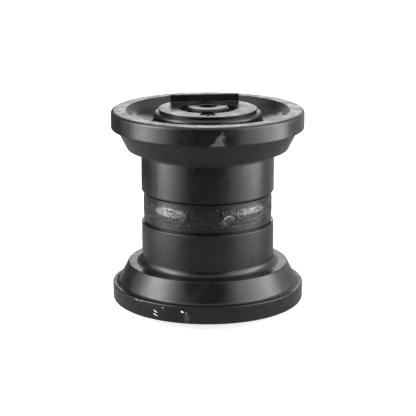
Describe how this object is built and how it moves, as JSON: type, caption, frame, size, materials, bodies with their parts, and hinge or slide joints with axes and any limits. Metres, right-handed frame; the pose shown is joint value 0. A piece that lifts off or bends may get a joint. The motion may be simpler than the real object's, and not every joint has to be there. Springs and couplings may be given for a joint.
{
  "type": "track roller",
  "caption": "Double-flange bottom roller for a mini excavator's rubber or steel track, turning on a fixed shaft with keyed end collars and face seals.",
  "frame": {"origin": "centre of the roller: on its axis, midway between the two flange faces", "axes": "+Z along the shaft towards end a; +Y towards the side where both key bars stand; +X to the right"},
  "size_m": [0.1504, 0.1504, 0.1662],
  "materials": {
    "shell_paint": "satin black paint with a fine orange peel",
    "weld_paint": "black paint over a rough weld",
    "collar_paint": "satin black paint",
    "shaft_paint": "satin black paint on the ends, ground steel inside",
    "bronze": "turned bearing bronze",
    "seal_iron": "lapped hard iron",
    "seal_rubber": "matt nitrile rubber",
    "spring_steel": "phosphated spring steel",
    "pin_steel": "hardened steel",
    "plug_steel": "steel, painted over"
  },
  "bodies": {
    "axle": {"shaft": "shaft_paint", "collar_a": "collar_paint", "collar_b": "collar_paint", "collar_seal_ring_a": "seal_iron", "collar_seal_ring_b": "seal_iron", "collar_toric_ring_a": "seal_rubber", "collar_toric_ring_b": "seal_rubber", "shaft_o_ring_a": "seal_rubber", "shaft_o_ring_b": "seal_rubber", "retaining_ring_a": "spring_steel", "retaining_ring_b": "spring_steel", "lock_pin_a": "pin_steel", "lock_pin_b": "pin_steel", "oil_plug_a": "plug_steel", "oil_plug_b": "plug_steel"},
    "roller": {"shell_half_a": "shell_paint", "shell_half_b": "shell_paint", "weld_bead": "weld_paint", "bushing_a": "bronze", "bushing_b": "bronze", "shell_seal_ring_a": "seal_iron", "shell_seal_ring_b": "seal_iron", "shell_toric_ring_a": "seal_rubber", "shell_toric_ring_b": "seal_rubber"}
  },
  "joints": [
    {"name": "roller_spin", "type": "hinge", "parent": "axle", "child": "roller", "pos_m": [0, 0, 0], "axis": [0, 0, 1], "continuous": true}
  ]
}
